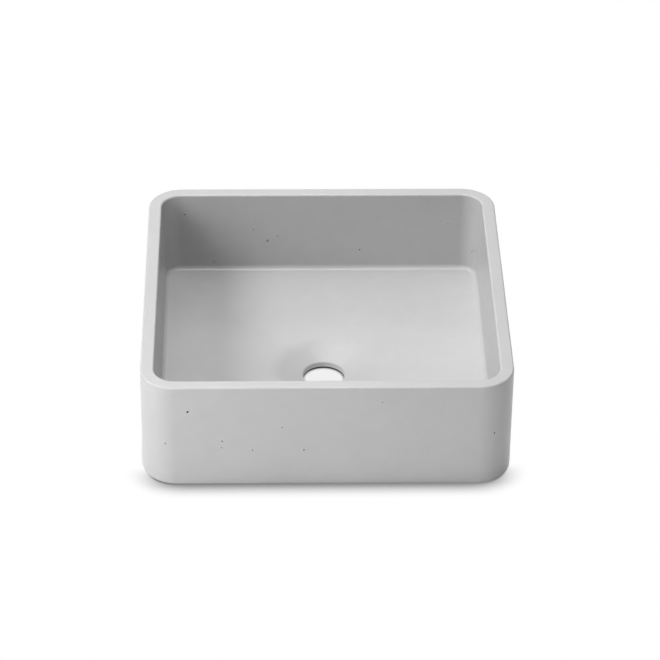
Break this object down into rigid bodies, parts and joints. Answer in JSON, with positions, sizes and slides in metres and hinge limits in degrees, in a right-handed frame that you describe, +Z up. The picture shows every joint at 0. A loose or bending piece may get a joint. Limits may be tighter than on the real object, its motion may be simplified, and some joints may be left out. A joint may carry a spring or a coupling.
{
  "type": "washbasin",
  "caption": "Square countertop washbasin cast in light grey concrete, with rounded corners, thin walls and a round dish that falls to an open drain hole.",
  "frame": {"origin": "on the countertop under the pads, at the centre of the basin's footprint", "axes": "+Z up through the open bowl, +X to the right and +Y to the back as seen by someone standing at the basin; the drain hole lies 5 mm towards the front, at -Y"},
  "size_m": [0.38, 0.38, 0.122],
  "materials": {
    "concrete": "smooth cast concrete, matt sealed, with scattered pinholes",
    "pad_rubber": "matt black rubber"
  },
  "bodies": {
    "root": {"basin_shell": "concrete", "base_pad_front_left": "pad_rubber", "base_pad_front_right": "pad_rubber", "base_pad_back_left": "pad_rubber", "base_pad_back_right": "pad_rubber"}
  },
  "joints": []
}
